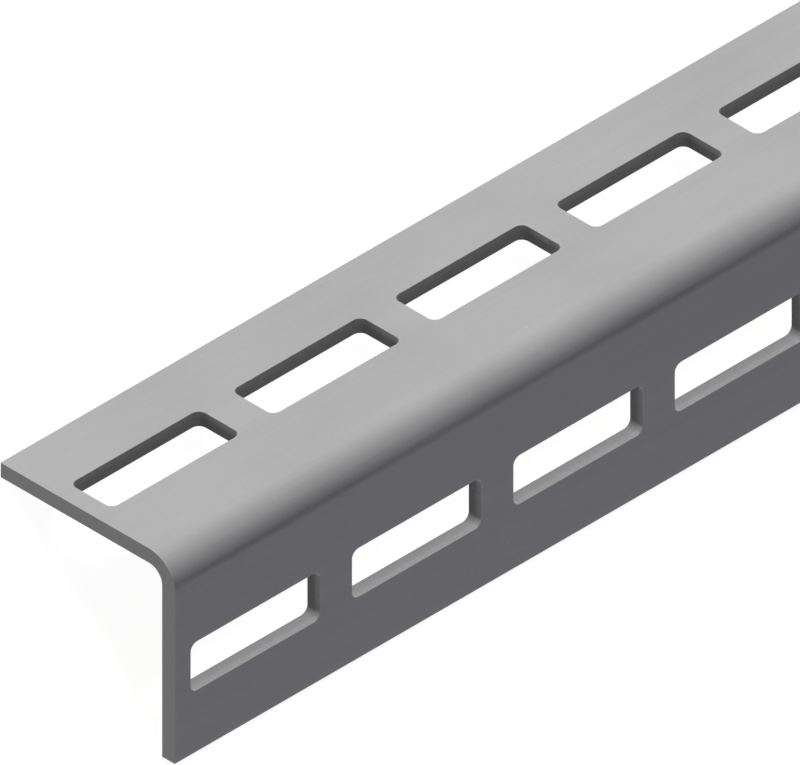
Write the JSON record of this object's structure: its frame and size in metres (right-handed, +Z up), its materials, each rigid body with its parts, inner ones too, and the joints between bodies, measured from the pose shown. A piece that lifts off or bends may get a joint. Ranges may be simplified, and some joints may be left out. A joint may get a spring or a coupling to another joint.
{
  "type": "slotted angle profile",
  "caption": "Equal-leg right-angle steel profile with a row of long slots down each leg, for bolted frames and brackets.",
  "frame": {"origin": "on the floor under the bend, halfway along the profile, midway between the two leg tips", "axes": "+X along the profile; +Y across it, towards the leg named right; +Z up through the bend, which is on top, with each leg sloping down at 45 degrees to rest on its tip"},
  "size_m": [1.5, 0.0764, 0.0377],
  "materials": {
    "steel": "bright rolled and zinc-plated, satin"
  },
  "bodies": {
    "root": {"angle_profile": "steel"}
  },
  "joints": []
}
